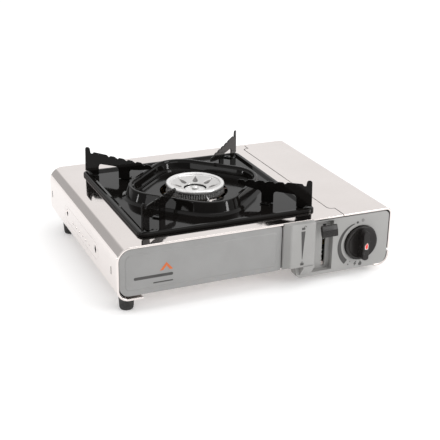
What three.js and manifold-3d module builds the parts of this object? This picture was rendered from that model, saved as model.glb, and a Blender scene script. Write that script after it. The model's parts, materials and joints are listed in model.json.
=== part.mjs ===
// Portable single-burner gas stove with an enclosed cartridge bay.
// Millimetres, +Z up, front of the stove towards -Y. The stove stands on Z = 0 and its
// outer box is centred on X = 0, Y = 0. Lengths along Y below are measured from the middle
// of the sheet-metal body, and the whole group is moved by BODY_OFFSET_Y at the end.

import * as THREE from 'three';
import { mergeVertices } from 'three/addons/utils/BufferGeometryUtils.js';
import Module from 'manifold-3d';

const wasm = await Module();
wasm.setup();

// ---------------------------------------------------------------- driving dimensions
const BODY_W = 340;            // casing, left to right
const BODY_D = 280;            // casing, front to back
const TOP_Z = 80;              // upper face of the top plate
const LEFT_CLEARANCE = 17;     // underside of the casing above the table, burner side
const BAY_CLEARANCE = 7;       // the same under the deeper cartridge bay
const SHEET = 1.2;             // casing sheet
const GAP = 0.3;               // air between pieces that bear on each other
const BODY_OFFSET_Y = 7;       // the knob stands 14 mm proud of the front

const BURNER = { x: -27.5, y: -8.5 };
const TRAY = { x: -29, y: -8 };   // the pan support sits a little to the left of the burner
const SEAM_X = 96.2;           // long seam between top plate and lid
const SEAM_END_X = 103.8;      // the same seam where it steps aside at both ends
const SEAM_FRONT_Y = -118.7;
const SEAM_REAR_Y = 123.2;

const TRAY_HALF_X = 108;       // enamelled pan support, outer rim
const TRAY_HALF_Y = 112;
const TRAY_RIM_R = 9;
const LIP_HALF = 67;           // raised lip: a rounded square turned by 45 degrees
const LIP_R = 38;
const TRAY_HOLE_R = 41;
const FIN_SHEET = 1.6;
const FIN_TOP = 36.5;          // tip of a fin above the top plate

const KNOB = { x: 129.5, z: 41.1, r: 21 };
const PANEL_FACE_Y = -139.5;
const PANEL_WALL = 2.5;
const LEVER = { x: 84.45, y: -78, z: 46, tab: 72, link: 18, rest: -16.5 };
const HINGE = { x: 168.2, z: 26 };
const BAY_X = 131;             // centre line of the gas cartridge
const BAY_Z = 44;

const HALF_W = BODY_W / 2;
const HALF_D = BODY_D / 2;
const ROUND_STEPS = 4;         // straight steps in a quarter circle
const DEGREE = Math.PI / 180;

// ---------------------------------------------------------------- finishes
const FINISH = {
  steel: { color: 0xdedad6, roughness: 0.22, metalness: 1.0 },
  grey_paint: { color: 0xa9a9a7, roughness: 0.5, metalness: 0.35 },
  zinc: { color: 0xb7bab8, roughness: 0.42, metalness: 0.9 },
  enamel: { color: 0x141210, roughness: 0.12, metalness: 0.0 },
  burner_steel: { color: 0xd6d3cd, roughness: 0.25, metalness: 1.0 },
  burner_iron: { color: 0x4a4744, roughness: 0.6, metalness: 0.7 },
  grey_plastic: { color: 0xb0afad, roughness: 0.45, metalness: 0.0 },
  black_plastic: { color: 0x1d1a19, roughness: 0.35, metalness: 0.0 },
  rubber: { color: 0x1c1b1a, roughness: 0.8, metalness: 0.0 },
  brass: { color: 0xb89550, roughness: 0.35, metalness: 1.0 },
  aluminium: { color: 0xc3c5c6, roughness: 0.4, metalness: 0.9 },
  ceramic: { color: 0xece7dc, roughness: 0.5, metalness: 0.0 },
};

const stove = new THREE.Group();

function add(name, finish, shape) {
  const geometry = shape.isBufferGeometry ? shape : toGeometry(shape);
  const mesh = new THREE.Mesh(geometry, new THREE.MeshStandardMaterial(FINISH[finish]));
  mesh.name = name;
  stove.add(mesh);
}

// ---------------------------------------------------------------- solids and booleans
function toSolid(geometry) {
  const bare = geometry.clone();
  bare.deleteAttribute('normal');
  bare.deleteAttribute('uv');
  const welded = mergeVertices(bare, 1e-4);
  return new wasm.Manifold(new wasm.Mesh({
    numProp: 3,
    vertProperties: new Float32Array(welded.attributes.position.array),
    triVerts: new Uint32Array(welded.index.array),
  }));
}

function toGeometry(solid) {
  const mesh = solid.getMesh();
  const geometry = new THREE.BufferGeometry();
  geometry.setAttribute('position', new THREE.BufferAttribute(mesh.vertProperties, 3));
  geometry.setIndex(new THREE.BufferAttribute(mesh.triVerts, 1));
  return geometry;
}

// Joins, then cuts. Both lists hold geometries.
function build(joined, cut = []) {
  const whole = joined.map(toSolid).reduce((a, b) => a.add(b));
  return cut.map(toSolid).reduce((a, b) => a.subtract(b), whole);
}

// ---------------------------------------------------------------- outlines
// Corners are [x, y, radius]; a radius of 0 or none leaves the corner sharp.
function roundCorners(corners, closed = true) {
  const count = corners.length;
  const points = [];
  corners.forEach(([x, y, radius = 0], i) => {
    const corner = new THREE.Vector2(x, y);
    const atEnd = !closed && (i === 0 || i === count - 1);
    if (radius === 0 || atEnd) {
      points.push(corner);
      return;
    }
    const [px, py] = corners[(i + count - 1) % count];
    const [nx, ny] = corners[(i + 1) % count];
    const back = new THREE.Vector2(px, py).sub(corner).normalize();
    const ahead = new THREE.Vector2(nx, ny).sub(corner).normalize();
    const half = Math.acos(back.dot(ahead)) / 2;
    const centre = back.clone().add(ahead).normalize().multiplyScalar(radius / Math.sin(half)).add(corner);
    const from = back.multiplyScalar(radius / Math.tan(half)).add(corner).sub(centre).angle();
    const to = ahead.multiplyScalar(radius / Math.tan(half)).add(corner).sub(centre).angle();
    const sweep = Math.atan2(Math.sin(to - from), Math.cos(to - from));
    const steps = Math.max(2, Math.round(Math.abs(sweep) / (Math.PI / 2) * ROUND_STEPS));
    for (let k = 0; k <= steps; k += 1) {
      const angle = from + sweep * k / steps;
      points.push(new THREE.Vector2(centre.x + radius * Math.cos(angle), centre.y + radius * Math.sin(angle)));
    }
  });
  return points;
}

function rectangle(x0, y0, x1, y1, radius = 0) {
  return roundCorners([[x0, y0, radius], [x1, y0, radius], [x1, y1, radius], [x0, y1, radius]]);
}

function circle(x, y, radius, sides = 24) {
  return Array.from({ length: sides }, (_, i) => {
    const angle = i / sides * 2 * Math.PI;
    return new THREE.Vector2(x + radius * Math.cos(angle), y + radius * Math.sin(angle));
  });
}

// A bent strip: the corners run along one face, the thickness lies to the left of travel.
function bentStrip(corners, thickness) {
  const face = roundCorners(corners, false);
  const normals = face.slice(1).map((p, i) => new THREE.Vector2(face[i].y - p.y, p.x - face[i].x).normalize());
  const back = face.map((p, i) => {
    const before = normals[Math.max(i - 1, 0)];
    const after = normals[Math.min(i, normals.length - 1)];
    const mitre = before.clone().add(after);
    return mitre.multiplyScalar(2 * thickness / mitre.lengthSq()).add(p);
  });
  return [...face, ...back.reverse()];
}

function shapeOf(outline, holes = []) {
  const shape = new THREE.Shape(outline);
  shape.holes = holes.map((hole) => new THREE.Path(hole));
  return shape;
}

// ---------------------------------------------------------------- extrusions
function alongZ(outline, z0, z1, holes) {
  const settings = { depth: z1 - z0, bevelEnabled: false, steps: 1 };
  return new THREE.ExtrudeGeometry(shapeOf(outline, holes), settings).translate(0, 0, z0);
}

// The outline is (x, z), seen from the front.
function alongY(outline, y0, y1, holes) {
  return alongZ(outline, -y1, -y0, holes).rotateX(Math.PI / 2);
}

// The outline is (y, z), seen from the right.
function alongX(outline, x0, x1, holes) {
  const turn = new THREE.Matrix4().makeBasis(
    new THREE.Vector3(0, 1, 0), new THREE.Vector3(0, 0, 1), new THREE.Vector3(1, 0, 0));
  return alongZ(outline, x0, x1, holes).applyMatrix4(turn);
}

function box(x0, y0, z0, x1, y1, z1) {
  return new THREE.BoxGeometry(x1 - x0, y1 - y0, z1 - z0)
    .translate((x0 + x1) / 2, (y0 + y1) / 2, (z0 + z1) / 2);
}

// A turned piece on a vertical axis. The profile is (radius, z).
function turned(profile, x, y, sides = 32) {
  const points = profile.map(([r, z]) => new THREE.Vector2(r, z));
  return new THREE.LatheGeometry(points, sides).rotateX(Math.PI / 2).translate(x, y, 0);
}

// The same with its axis along Y. The profile is (radius, y), counted towards the front.
function turnedFrontwards(profile, x, z, sides = 32) {
  const points = profile.map(([r, forward]) => new THREE.Vector2(r, forward));
  return new THREE.LatheGeometry(points, sides).rotateX(Math.PI).translate(x, 0, z);
}

function rod(route, radius, sides, steps) {
  const path = new THREE.CatmullRomCurve3(route.map((p) => new THREE.Vector3(...p)), false, 'centripetal');
  const section = new THREE.Shape(circle(0, 0, radius, sides));
  return new THREE.ExtrudeGeometry(section, { extrudePath: path, steps, bevelEnabled: false });
}

// ---------------------------------------------------------------- casing
const PLATE_UNDER = TOP_Z - SHEET;
const CURL_R = 14;             // lower edges of the casing
const SHOULDER_R = 17;         // upper left edge
const LID_R = 8;               // upper right edge
const WELL_R = 50;             // opening in the top plate round the burner

function topShell() {
  const flangeEnd = -BODY_W / 2 + 30;
  const skin = bentStrip([
    [SEAM_END_X, TOP_Z], [-HALF_W, TOP_Z, SHOULDER_R], [-HALF_W, LEFT_CLEARANCE, CURL_R],
    [flangeEnd, LEFT_CLEARANCE],
  ], SHEET);
  const lidTongue = alongZ(rectangle(SEAM_X, SEAM_FRONT_Y, SEAM_END_X + 20, SEAM_REAR_Y, 6), 70, 90);
  const well = alongZ(circle(BURNER.x, BURNER.y, WELL_R, 40), 70, 90);
  const vents = [-120, -62, 56, 129].map((y) => alongX(rectangle(y - 1.6, 42, y + 1.6, 55, 1.5), -180, -160));
  return build([alongY(skin, -HALF_D, HALF_D)], [lidTongue, well, ...vents]);
}

const PAN_FRONT_Y = -129.3;    // the pan's front edge turns up behind the front panel
const PANEL_BACK_Y = -126;     // rear edge of the control panel's flange
const PAN_REAR_Y = 137.2;
const STEP_X = 88;

function basePan() {
  const left = LEFT_CLEARANCE + SHEET + 0.4;
  const wallTop = HINGE.z - 2.3;
  const skin = bentStrip([
    [-154, left], [STEP_X, left, 2], [STEP_X, BAY_CLEARANCE, 2],
    [HALF_W, BAY_CLEARANCE, CURL_R], [HALF_W, wallTop],
  ], SHEET);
  const lug = (y) => alongY(roundCorners([
    [160, 12], [168.6, 12], [168.6, 28.4, 1.3], [165.8, 28.4, 1.3], [160, 16],
  ]), y - 1, y + 1);
  const lugBore = alongY(circle(HINGE.x, HINGE.z, 1.1, 12), -110, 110);
  const lugs = [-104, -78, 78, 104].map(lug);
  const behindPanel = box(40, -150, 5, HALF_W - CURL_R - 6, PANEL_BACK_Y, 30);
  const rearReveal = box(-180, PAN_REAR_Y, 5, HALF_W - CURL_R - 6, 150, 30);
  const leftReveal = box(-180, -150, 5, 40, PAN_FRONT_Y, 30);
  const upstand = box(-152, PAN_FRONT_Y, left, 26, PAN_FRONT_Y + SHEET, left + 7);
  const airHoles = [-100, -60, -20, 20].map((x) => alongZ(rectangle(x - 12, 60, x + 12, 66, 3), 10, 30));
  const trimmed = build([alongY(skin, -HALF_D, HALF_D), ...lugs],
    [behindPanel, rearReveal, leftReveal, lugBore, ...airHoles]);
  return trimmed.add(toSolid(upstand));
}

// A pressed plate with a raised field and a flange turned back all round.
function frontPanel() {
  const edge = HALF_W - SHEET - 0.4;
  const top = PLATE_UNDER - 0.3;
  const outline = (inset) => roundCorners([
    [-edge + inset, 22 + inset, 12.4 - inset], [26 - inset, 22 + inset, 3],
    [26 - inset, top - inset, 3], [-edge + inset, top - inset, 15.4 - inset],
  ]);
  const field = roundCorners([[-edge + 8, 29, 7], [18, 29, 7], [18, top - 7, 7], [-edge + 8, top - 7, 10]]);
  const flange = alongY(outline(0), -138.5, PAN_FRONT_Y - 0.3, [outline(1).reverse()]);
  return build([alongY(outline(0), -139, -138), alongY(field, -139.7, -138.8), flange]);
}

function rearPanel() {
  const edge = HALF_W - SHEET - 0.4;
  const outline = roundCorners([
    [-edge, 18.7, 12.2], [STEP_X - 1.6, 18.7], [STEP_X - 1.6, 8.6, 1], [edge, 8.6, 12.2],
    [edge, PLATE_UNDER - 0.3, 6.4], [-edge, PLATE_UNDER - 0.3, 15.4],
  ]);
  const slots = [];
  for (const z of [34, 52]) {
    for (let x = -126; x <= 54; x += 45) {
      slots.push(rectangle(x - 12, z, x + 12, z + 6, 3));
    }
  }
  return alongY(outline, 138, 139, slots);
}

function lid() {
  const skin = bentStrip([[HALF_W, HINGE.z + 0.8], [HALF_W, TOP_Z, LID_R], [SEAM_END_X + 1, TOP_Z]], SHEET);
  const tongue = alongZ(
    rectangle(SEAM_X + 1, SEAM_FRONT_Y + 0.8, SEAM_END_X + 20, SEAM_REAR_Y - 0.8, 5.4), PLATE_UNDER, TOP_Z);
  const barrel = (y) => alongY(circle(HINGE.x, HINGE.z, 1.8, 16), y - 11, y + 11);
  const bore = alongY(circle(HINGE.x, HINGE.z, 1.1, 12), -105, 105);
  return build([alongY(skin, -HALF_D, HALF_D), tongue, barrel(-91), barrel(91)], [bore]);
}

function lidHingePin(y) {
  return alongY(circle(HINGE.x, HINGE.z, 0.8, 12), y - 15, y + 15);
}

function foot(x, y, height) {
  return turned([[0, 0], [6.8, 0], [8, 1.2], [8.9, height], [0, height]], x, y, 24);
}

// ---------------------------------------------------------------- control panel
const BLOCK_FACE_Y = -148.5;
const CHANNEL_FLOOR_Y = -131.5;

function controlPanel() {
  const right = HALF_W - SHEET - 0.4;
  const top = PLATE_UNDER - 0.3;
  const outline = (inset) => roundCorners([
    [26.6 + inset, 23 + inset, 2], [44 + inset, 23 + inset, 2], [47 + inset, 8.5 + inset, 5],
    [right - inset, 8.5 + inset, 12.2], [right - inset, top - inset, 6.4], [26.6 + inset, top - inset, 2],
  ]);
  const face = alongY(outline(0), PANEL_FACE_Y, PANEL_FACE_Y + PANEL_WALL);
  const flange = alongY(outline(0), PANEL_FACE_Y + 1, PANEL_BACK_Y - 0.3, [outline(2).reverse()]);
  const blockPlan = (inset, back) => roundCorners([
    [27 + inset, back], [27 + inset * 1.5, -141], [33 + inset, BLOCK_FACE_Y + inset, 4],
    [64.2 - inset, BLOCK_FACE_Y + inset, 1.5], [64.2 - inset, back],
  ]);
  const block = alongZ(blockPlan(0, PANEL_FACE_Y + 1), 26.5, TOP_Z - 0.3);
  const blockFoot = alongX(roundCorners([
    [PANEL_FACE_Y + 1, 10], [PANEL_FACE_Y + 1, 27], [BLOCK_FACE_Y, 27], [BLOCK_FACE_Y, 24, 2],
  ]), 50, 64.2);
  const overhang = box(20, -141, PLATE_UNDER - 0.3, 70, -130, 90);
  const blockHollow = alongZ(blockPlan(2, -130), 28.5, TOP_Z - 4);
  const channelOuter = alongY(rectangle(62.2, 10.5, 94, 77), PANEL_FACE_Y + 0.5, CHANNEL_FLOOR_Y + 2);
  const channel = alongY(rectangle(64.2, 13, 92, 75, 1), -145, CHANNEL_FLOOR_Y);
  const leverSlot = alongY(rectangle(82.4, 15.5, 86.5, 68.5), -140, -120);
  const knobWell = turnedFrontwards([[0, 138], [22, 138], [22, 150], [0, 150]], KNOB.x, KNOB.z, 40);
  const spindleHole = turnedFrontwards([[0, 120], [8, 120], [8, 150], [0, 150]], KNOB.x, KNOB.z, 24);
  return build([face, flange, block, blockFoot, channelOuter],
    [overhang, blockHollow, channel, leverSlot, knobWell, spindleHole]);
}

function knob() {
  const skirt = turnedFrontwards([
    [0, 130], [6.5, 130], [6.5, 138.3], [KNOB.r, 138.3], [KNOB.r, 141.6], [KNOB.r - 1.2, 143], [0, 143],
  ], KNOB.x, KNOB.z, 40);
  const grip = alongY(rectangle(KNOB.x - 4.2, KNOB.z - 19.5, KNOB.x + 4.2, KNOB.z + 19.5, 4.1), -154, -142);
  return build([skirt, grip]);
}

function valveSpindle() {
  const shaft = turnedFrontwards([[0, 101], [3, 101], [3, 129.7], [0, 129.7]], KNOB.x, KNOB.z, 20);
  const lobe = alongY(circle(KNOB.x, KNOB.z, 6, 20), -126, -122);
  const nose = alongY(rectangle(KNOB.x - 2.5, KNOB.z, KNOB.x + 2.5, KNOB.z + 9, 2), -126, -122);
  return build([shaft, lobe, nose]);
}

// ---------------------------------------------------------------- lock lever and cartridge pusher
function swungAboutLever(geometry) {
  const angle = LEVER.rest * DEGREE;
  return geometry.rotateX(angle).translate(0, LEVER.y, LEVER.z);
}

function lockLever() {
  const outline = roundCorners([
    [-LEVER.tab + GAP, -3.5, 1], [-12, -3.5, 3], [-6, -8, 3], [8, -8, 4], [8, 4, 4],
    [4.5, LEVER.link + 5, 3], [-4.5, LEVER.link + 5, 3], [-6, 3.5, 3], [-LEVER.tab + GAP, 3.5, 1],
  ]);
  const arm = alongX(outline, LEVER.x - 1.25, LEVER.x + 1.25, [circle(0, 0, 2.9, 24)]);
  const link = alongX(circle(0, LEVER.link, 2, 16), LEVER.x, LEVER.x + 6.6);
  return build([swungAboutLever(arm), swungAboutLever(link)]);
}

function leverTab() {
  const outline = roundCorners([
    [-LEVER.tab, -4, 1], [-LEVER.tab, 4, 1], [-LEVER.tab - 1.5, 7.5, 1], [-LEVER.tab - 4, 7.5, 1.5],
    [-LEVER.tab - 5, 0, 4], [-LEVER.tab - 4, -7.5, 1.5], [-LEVER.tab - 1.5, -7.5, 1],
  ]);
  return swungAboutLever(alongX(outline, 70.8, 91.2));
}

function leverPivot() {
  return build([
    alongX(circle(LEVER.y, LEVER.z, 2.5, 24), 81, 89.5),
    alongX(circle(LEVER.y, LEVER.z, 5, 24), 80.6, 82.6),
  ]);
}

function leverBracket() {
  const upright = alongX(rectangle(-88.5, 20.1, -66, 54, 3), 86, 87.4, [circle(LEVER.y, LEVER.z, 2.9, 24)]);
  return build([upright, box(68, -88.5, 20.1, 87, -66, 21.5)]);
}

function cartridgePusher() {
  const headOutline = rectangle(LEVER.y - 11.5, LEVER.z + 13, LEVER.y + 12, LEVER.z + 23, 2);
  const pinSlot = rectangle(LEVER.y + 2.4, LEVER.z + 13.8, LEVER.y + 7.8, LEVER.z + 21.6);
  const head = alongX(headOutline, 88.2, 90.2, [pinSlot]);
  const strip = alongX(rectangle(-70, 60, 118, 68), 88.2, 90.2);
  const plate = alongY(roundCorners([
    [88.2, 56], [97, 56, 2], [97, 16, 3], [158, 16, 10], [158, 70, 12], [88.2, 70],
  ]), 116, 118);
  const dish = alongY(circle(BAY_X, BAY_Z, 12, 24), 113.5, 116.5);
  return build([head, strip, plate, dish]);
}

function pusherGuide(y) {
  const hoop = roundCorners([[86.8, 58.6], [94.3, 58.6], [94.3, 69.4], [86.8, 69.4]]);
  return alongY(hoop, y - 4, y + 4, [rectangle(87.8, 59.6, 90.6, 68.4)]);
}

// ---------------------------------------------------------------- gas side
function partition() {
  const sheet = rectangle(-82, 8.6, 98, PLATE_UNDER - 0.4, 2);
  const strapSlot = rectangle(17, 19.4, 47, 24.6, 2);
  const holes = [-60, -30, 0, 66].map((y) => circle(y, 40, 5, 16));
  return alongX(sheet, 94.6, 95.8, [strapSlot, ...holes]);
}

function regulatorBody() {
  const block = alongY(roundCorners([
    [108, 20, 4], [152, 20, 4], [152, 66, 8], [108, 66, 8],
  ]), -114, -84);
  const boss = turnedFrontwards([[0, 113], [8, 113], [8, 118], [0, 118]], KNOB.x, KNOB.z, 24);
  const stem = turnedFrontwards([[0, 100], [3.4, 100], [3.4, 120], [0, 120]], KNOB.x, KNOB.z, 20);
  return build([block, boss], [stem]);
}

function regulatorCap() {
  return alongX(circle(-99, 44, 14, 28), 152.3, 158);
}

function inletCollar() {
  const bore = circle(BAY_X, BAY_Z, 9, 24);
  return alongY(circle(BAY_X, BAY_Z, 15, 28), -83.7, -76, [bore]);
}

function inletNozzle() {
  return alongY(circle(BAY_X, BAY_Z, 3, 16), -83.7, -74);
}

function regulatorBracket() {
  const strip = bentStrip([[-84, 19.6], [-114, 19.6], [-114, 9.8], [-122, 9.8]], 1.2);
  return alongX(strip, 112, 146);
}

const CRADLE_R = 33.8;         // the cartridge lies in it with a little play

function cradle(y) {
  const outline = [[100, 8.6], [154, 8.6], [160, 14]].map(([x, z]) => new THREE.Vector2(x, z));
  for (let x = 160; x >= 100; x -= 6) {
    const drop = Math.sqrt(CRADLE_R ** 2 - (x - BAY_X) ** 2);
    outline.push(new THREE.Vector2(x, Math.min(22, BAY_Z - drop)));
  }
  return alongY(outline, y - 1, y + 1);
}

function gasJet() {
  return alongX(circle(-98, 29, 3.2, 16), 98, 107.7);
}

function mixingTube() {
  return rod([
    [96.5, -98, 29], [84, -96, 29], [52, -78, 29], [14, -40, 30], [-14, -18, 33], [-25.6, -10, 41],
    [BURNER.x, BURNER.y, 51],
  ], 6.5, 12, 26);
}

function heatStrap() {
  const profile = bentStrip([[-20, 62.6], [16, 62.6, 4], [46, 21.2, 4], [98.5, 21.2, 1], [98.5, 38]], 1.5);
  return alongY(profile, 20, 44);
}

// ---------------------------------------------------------------- ignition
const PLUNGER_Y = -124;

function piezoCase() {
  const bore = alongX(circle(PLUNGER_Y, KNOB.z, 2.5, 20), 102.5, 110);
  return build([box(97, -128, 33, 107.7, -117, 49)], [bore]);
}

function piezoPlunger() {
  return alongX(circle(PLUNGER_Y, KNOB.z, 2, 20), 107.2, 119);
}

const SPARK = { x: -26, y: -47.6 };

function sparkInsulator() {
  return turned([[0, 67.8], [3.6, 67.8], [3.6, 71], [2.6, 72], [2.6, 79], [0, 79]], SPARK.x, SPARK.y, 16);
}

function sparkElectrode() {
  return rod([
    [SPARK.x, SPARK.y, 79.3], [SPARK.x, SPARK.y, 82.5], [SPARK.x - 0.3, SPARK.y + 1.6, 84.3],
    [SPARK.x - 0.7, SPARK.y + 4, 84.8],
  ], 0.9, 8, 8);
}

function ignitionLead() {
  return rod([
    [96.6, -122, 38], [94, -122, 37.6], [91.6, -121, 30], [86, -118, 22.6], [60, -108, 22.4], [20, -84, 22.4],
    [-2, -64, 22.6], [-8, -54, 28], [-8, -49, 50], [-10, -47.8, 66], [-15, -47.6, 72.5], [-22.2, -47.6, 74],
  ], 1, 6, 44);
}

// ---------------------------------------------------------------- burner
function burnerBracket() {
  const half = 58;
  const strip = bentStrip([
    [BURNER.y + half + 12, PLATE_UNDER - 0.4], [BURNER.y + half, PLATE_UNDER - 0.4, 2], [BURNER.y + half, 67.4, 2],
    [BURNER.y - half, 67.4, 2], [BURNER.y - half, PLATE_UNDER - 0.4, 2], [BURNER.y - half - 12, PLATE_UNDER - 0.4],
  ], 1.4);
  const hole = alongZ(circle(BURNER.x, BURNER.y, 10.6, 24), 50, 80);
  return build([alongX(strip, BURNER.x - 15, BURNER.x + 15)], [hole]);
}

function burnerBody() {
  return turned([
    [7.6, 51.4], [10, 51.4], [10, 69], [15, 71.5], [32, 79.4], [35, 81.4], [35, 82.4], [33, 82.6], [33, 88],
    [31, 88], [31, 82.6], [28, 80], [13, 73.4], [7.6, 70], [7.6, 51.4],
  ], BURNER.x, BURNER.y, 32);
}

function burnerCap() {
  return turned([
    [14.2, 84.4], [28.6, 89.3], [30.6, 88.4], [34, 88.4], [35.5, 89.6], [35.5, 91.4], [34.4, 93], [32.6, 93.4],
    [30.8, 92.6], [29.6, 91.2], [15, 86.2], [14.2, 85.6], [14.2, 84.4],
  ], BURNER.x, BURNER.y, 32);
}

function burnerCore() {
  return turned([[0, 74], [4, 74], [5, 81], [12.6, 83], [12.6, 83.9], [0, 84.4]], BURNER.x, BURNER.y, 24);
}

function burnerScrew() {
  return turned([[0, 84.7], [4.2, 84.7], [4, 86.2], [2.6, 87.5], [0, 88]], BURNER.x, BURNER.y, 20);
}

// ---------------------------------------------------------------- pan support
// Distance from the centre to a rectangle with rounded corners, in the direction given.
function reachOfRoundedRectangle(angle, halfX, halfY, radius) {
  const c = Math.abs(Math.cos(angle));
  const s = Math.abs(Math.sin(angle));
  const flatX = halfX - radius;
  const flatY = halfY - radius;
  if (c > 0 && halfX / c * s <= flatY) {
    return halfX / c;
  }
  if (s > 0 && halfY / s * c <= flatX) {
    return halfY / s;
  }
  const along = flatX * c + flatY * s;
  return along + Math.sqrt(along * along - flatX * flatX - flatY * flatY + radius * radius);
}

const TRAY_OUTLINES = {
  rim: (angle, grow) => reachOfRoundedRectangle(
    angle, TRAY_HALF_X + grow, TRAY_HALF_Y + grow, Math.max(TRAY_RIM_R + grow, 0.5)),
  lip: (angle, grow) => reachOfRoundedRectangle(
    angle - Math.PI / 4, LIP_HALF + grow, LIP_HALF + grow, LIP_R + grow),
  hole: (angle, grow) => TRAY_HOLE_R + grow,
};

// The pressing's section from the outer edge, over rim, field, lip and bowl to the hole, and
// back underneath: [outline, growth outwards, height above the top plate].
const TRAY_SECTION = [
  ['rim', 0, 0.4], ['rim', 0, 2.8], ['rim', -1.6, 4.2], ['rim', -5, 4.2], ['rim', -9, 1.5],
  ['lip', 8.5, 1.5], ['lip', 5.2, 4], ['lip', 2.4, 14], ['lip', 0.6, 16], ['lip', -1.6, 16],
  ['lip', -3.4, 14], ['lip', -6, 4.4], ['lip', -9, 2.4], ['hole', 0, 2.2],
  ['hole', 0, 1.2], ['lip', -9.6, 1.4], ['lip', -5, 3.8], ['lip', -2.4, 13.4], ['lip', -1, 14.9],
  ['lip', 0.2, 14.9], ['lip', 1.4, 13.4], ['lip', 4.2, 3.4], ['lip', 8.2, 0.5],
  ['rim', -9.5, 0.5], ['rim', -5.2, 3.2], ['rim', -2, 3.2], ['rim', -1, 2.4], ['rim', -1, 0.4],
];

function trayAngles() {
  const angles = [];
  for (let degrees = 0; degrees < 360; degrees += 7.5) {
    angles.push(degrees * DEGREE);
  }
  const corner = Math.atan2(TRAY_HALF_Y, TRAY_HALF_X);
  for (const middle of [corner, Math.PI - corner, Math.PI + corner, 2 * Math.PI - corner]) {
    for (const turn of [-3.6, -1.3, 1.3, 3.4]) {
      angles.push(middle + turn * DEGREE);
    }
  }
  return angles.sort((a, b) => a - b);
}

function panTray() {
  const angles = trayAngles();
  const rows = TRAY_SECTION.length;
  const position = [];
  for (const angle of angles) {
    for (const [outline, grow, height] of TRAY_SECTION) {
      const reach = TRAY_OUTLINES[outline](angle, grow);
      position.push(TRAY.x + reach * Math.cos(angle), TRAY.y + reach * Math.sin(angle), TOP_Z + height);
    }
  }
  const index = [];
  angles.forEach((_, i) => {
    const here = i * rows;
    const next = ((i + 1) % angles.length) * rows;
    for (let j = 0; j < rows; j += 1) {
      const k = (j + 1) % rows;
      index.push(here + j, next + j, next + k, here + j, next + k, here + k);
    }
  });
  const geometry = new THREE.BufferGeometry();
  geometry.setAttribute('position', new THREE.Float32BufferAttribute(position, 3));
  geometry.setIndex(index);
  const sparkNotch = alongZ(circle(SPARK.x, SPARK.y, 4.4, 20), 70, 90);
  return build([geometry], [sparkNotch]);
}

const FIN_TOOTH_PITCH = 12.3;
const FIN_TEETH = 5;

// One fin, standing in the plane of (distance in from the tray's corner, height above the
// top plate): an upright horn outside, a flat, then teeth that step down towards the burner.
function finOutline() {
  const corners = [
    [5.6, 5], [6.4, FIN_TOP, 3], [12.6, FIN_TOP, 3], [13.8, 28.6, 1.5], [16.4, 28.6, 1], [18.6, 30.8, 1],
    [37, 30, 1.5],
  ];
  for (let tooth = 0; tooth < FIN_TEETH; tooth += 1) {
    const start = 37 + tooth * FIN_TOOTH_PITCH;
    const crest = 29.4 - tooth * 0.8 - (tooth === FIN_TEETH - 1 ? 0.8 : 0);
    corners.push([start + 3, crest - 1.7, 0.8], [start + 5, crest, 1.2], [start + 11, crest - 0.4, 1.2]);
  }
  corners.push(
    [100, 22.5, 1.5], [98.6, 20, 1.5], [84, 17, 3], [74, 15.5, 4], [68, 15.5, 5], [68, 2],
    [53, 2], [53, 17, 5], [25, 17, 5], [24.4, 2], [16, 2], [12.5, 5],
  );
  return roundCorners(corners).reverse();
}

function fin(signX, signY) {
  const along = Math.hypot(TRAY_HALF_X, TRAY_HALF_Y);
  const flat = alongY(finOutline(), -FIN_SHEET / 2, FIN_SHEET / 2);
  const direction = Math.atan2(-signY * TRAY_HALF_Y, -signX * TRAY_HALF_X);
  return flat.translate(-along, 0, 0).rotateZ(direction).translate(TRAY.x, TRAY.y, TOP_Z);
}

// ---------------------------------------------------------------- assembly
add('top_shell', 'steel', topShell());
add('base_pan', 'steel', basePan());
add('front_panel', 'grey_paint', frontPanel());
add('rear_panel', 'steel', rearPanel());
add('control_panel', 'grey_plastic', controlPanel());
add('cartridge_lid', 'steel', lid());
add('lid_hinge_pin_front', 'zinc', lidHingePin(-91));
add('lid_hinge_pin_rear', 'zinc', lidHingePin(91));

add('knob', 'black_plastic', knob());
add('valve_spindle', 'brass', valveSpindle());
add('lock_lever', 'zinc', lockLever());
add('lever_tab', 'black_plastic', leverTab());
add('lever_pivot', 'zinc', leverPivot());
add('lever_bracket', 'zinc', leverBracket());
add('cartridge_pusher', 'zinc', cartridgePusher());
add('pusher_guide_front', 'zinc', pusherGuide(-40));
add('pusher_guide_rear', 'zinc', pusherGuide(80));

add('partition', 'zinc', partition());
add('regulator_body', 'aluminium', regulatorBody());
add('regulator_cap', 'zinc', regulatorCap());
add('regulator_bracket', 'zinc', regulatorBracket());
add('inlet_collar', 'brass', inletCollar());
add('inlet_nozzle', 'brass', inletNozzle());
add('cradle_front', 'zinc', cradle(-50));
add('cradle_rear', 'zinc', cradle(70));
add('gas_jet', 'brass', gasJet());
add('mixing_tube', 'aluminium', mixingTube());
add('heat_strap', 'brass', heatStrap());

add('piezo_case', 'black_plastic', piezoCase());
add('piezo_plunger', 'zinc', piezoPlunger());
add('spark_insulator', 'ceramic', sparkInsulator());
add('spark_electrode', 'burner_steel', sparkElectrode());
add('ignition_lead', 'black_plastic', ignitionLead());

add('burner_bracket', 'zinc', burnerBracket());
add('burner_body', 'burner_iron', burnerBody());
add('burner_cap', 'burner_steel', burnerCap());
add('burner_core', 'burner_iron', burnerCore());
add('burner_screw', 'burner_steel', burnerScrew());

add('pan_tray', 'enamel', panTray());
add('fin_front_left', 'enamel', fin(-1, -1));
add('fin_front_right', 'enamel', fin(1, -1));
add('fin_rear_left', 'enamel', fin(-1, 1));
add('fin_rear_right', 'enamel', fin(1, 1));

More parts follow.
